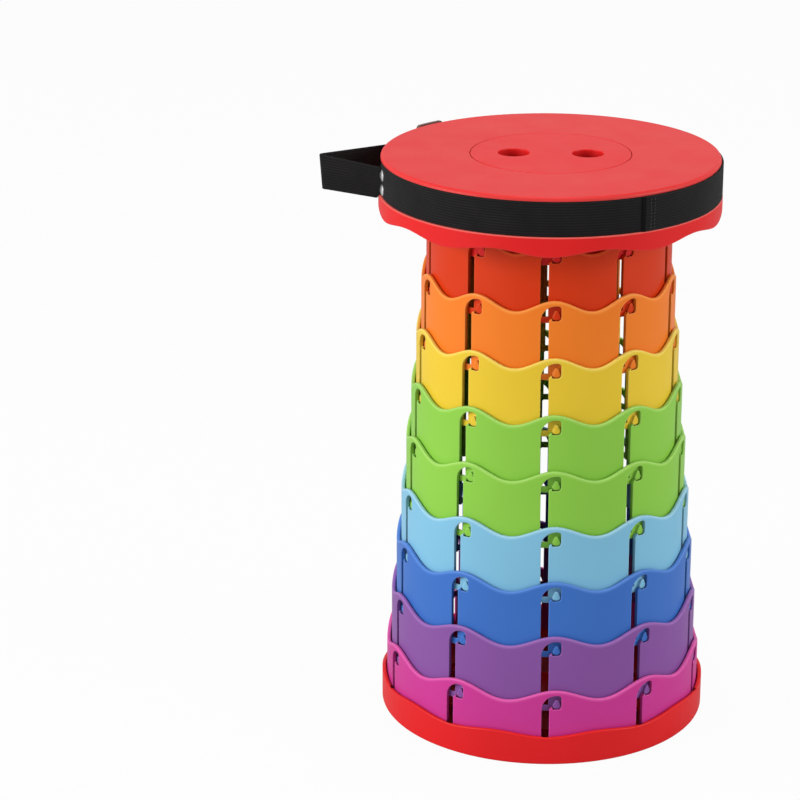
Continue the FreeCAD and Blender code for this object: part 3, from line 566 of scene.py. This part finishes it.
# ---- Rivets ----
# Four bright domed rivets, two at each root of the carry loop.

wear("handle_rivets", turned_metal("rivet_metal", display(232, 232, 232), 0.34))

# ---- Slider ----
# A grey-brown plastic slider that the strap's two layers pass through, at the back left.

slider_brown, slider_edge_highlight = display(110, 84, 76), display(160, 136, 126)
# Its edges are painted paler, as a painted highlight.
wear("strap_slider", moulded_plastic("slider_plastic", slider_brown, slider_edge_highlight, sheen_rough=0.42))

# ---- Floor, light and camera ----
# A pale studio floor, broad soft lamps on the left, on the right and overhead, the left one the
# strongest, and an even dim sky. The camera stands where the photograph was taken from.


def studio_floor():
    """Pale grey matt floor.

    What the camera sees of it is mostly its own light, so it looks white and still takes the
    object's shadow.
    """
    material = bpy.data.materials.new("studio_floor")
    material.use_nodes = True
    tree = material.node_tree
    tree.nodes.remove(tree.nodes["Principled BSDF"])
    matt = tree.nodes.new("ShaderNodeBsdfDiffuse")
    matt.inputs["Color"].default_value = (0.5, 0.5, 0.5, 1.0)
    glow = tree.nodes.new("ShaderNodeEmission")
    glow.inputs["Color"].default_value = (1.0, 1.0, 1.0, 1.0)
    path = tree.nodes.new("ShaderNodeLightPath")
    share = tree.nodes.new("ShaderNodeMath")
    share.operation = "MULTIPLY"
    share.inputs[1].default_value = 0.96
    link(tree, path, "Is Camera Ray", share, 0)
    mixed = tree.nodes.new("ShaderNodeMixShader")
    link(tree, share, "Value", mixed, "Fac")
    tree.links.new(matt.outputs["BSDF"], mixed.inputs[1])
    tree.links.new(glow.outputs["Emission"], mixed.inputs[2])
    link(tree, mixed, "Shader", tree.nodes["Material Output"], "Surface")
    return material


floor_half = 12.0
floor_mesh = bpy.data.meshes.new("studio_floor")
floor_corners = [(-floor_half, -floor_half, -0.0005), (floor_half, -floor_half, -0.0005),
                 (floor_half, floor_half, -0.0005), (-floor_half, floor_half, -0.0005)]
floor_mesh.from_pydata(floor_corners, [], [(0, 1, 2, 3)])
floor = bpy.data.objects.new("studio_floor", floor_mesh)
bpy.context.scene.collection.objects.link(floor)
floor.data.materials.append(studio_floor())

sky = bpy.data.worlds.new("studio_sky")
sky.use_nodes = True
sky_tree = sky.node_tree
lit_sky = sky_tree.nodes["Background"]
lit_sky.inputs["Color"].default_value = (0.96, 0.98, 1.0, 1.0)
lit_sky.inputs["Strength"].default_value = 0.44
seen_sky = sky_tree.nodes.new("ShaderNodeBackground")
seen_sky.inputs["Color"].default_value = (1.0, 1.0, 1.0, 1.0)
seen_sky.inputs["Strength"].default_value = 1.0
sky_path = sky_tree.nodes.new("ShaderNodeLightPath")
mirrored = sky_tree.nodes.new("ShaderNodeMath")
mirrored.operation = "MULTIPLY"
mirrored.inputs[1].default_value = 0.35
link(sky_tree, sky_path, "Is Glossy Ray", mirrored, 0)
seen = sky_tree.nodes.new("ShaderNodeMath")
seen.operation = "MAXIMUM"
link(sky_tree, sky_path, "Is Camera Ray", seen, 0)
link(sky_tree, mirrored, "Value", seen, 1)
sky_mix = sky_tree.nodes.new("ShaderNodeMixShader")
link(sky_tree, seen, "Value", sky_mix, "Fac")
sky_tree.links.new(lit_sky.outputs["Background"], sky_mix.inputs[1])
sky_tree.links.new(seen_sky.outputs["Background"], sky_mix.inputs[2])
link(sky_tree, sky_mix, "Shader", sky_tree.nodes["World Output"], "Surface")
bpy.context.scene.world = sky


def soft_lamp(name, place, aim, width, watts):
    """Square soft lamp that faces a point."""
    data = bpy.data.lights.new(name, "AREA")
    data.shape = "SQUARE"
    data.size = width
    data.energy = watts
    lamp = bpy.data.objects.new(name, data)
    lamp.location = place
    lamp.rotation_mode = "QUATERNION"
    lamp.rotation_quaternion = (Vector(aim) - Vector(place)).to_track_quat("-Z", "Y")
    bpy.context.scene.collection.objects.link(lamp)


soft_lamp("left_lamp", (-2.16, -1.15, 1.11), (0.0, 0.0, 0.22), 1.1, 56.0)
soft_lamp("right_lamp", (2.32, -0.75, 1.11), (0.0, 0.0, 0.22), 1.3, 38.0)
soft_lamp("top_lamp", (0.0, 0.3, 2.6), (0.0, 0.0, 0.43), 1.2, 25.0)

camera_data = bpy.data.cameras.new("camera")
camera_data.lens = 126.74
camera_data.sensor_width = 36.0
camera = bpy.data.objects.new("camera", camera_data)
camera.location = (0.0, -1.9966, 0.9450)
yaw, pitch = -0.055, -0.3391
facing = Vector((math.sin(yaw) * math.cos(pitch), math.cos(yaw) * math.cos(pitch), math.sin(pitch)))
camera.rotation_mode = "QUATERNION"
camera.rotation_quaternion = facing.to_track_quat("-Z", "Y")
bpy.context.scene.collection.objects.link(camera)
bpy.context.scene.camera = camera
bpy.context.scene.view_settings.view_transform = "Standard"
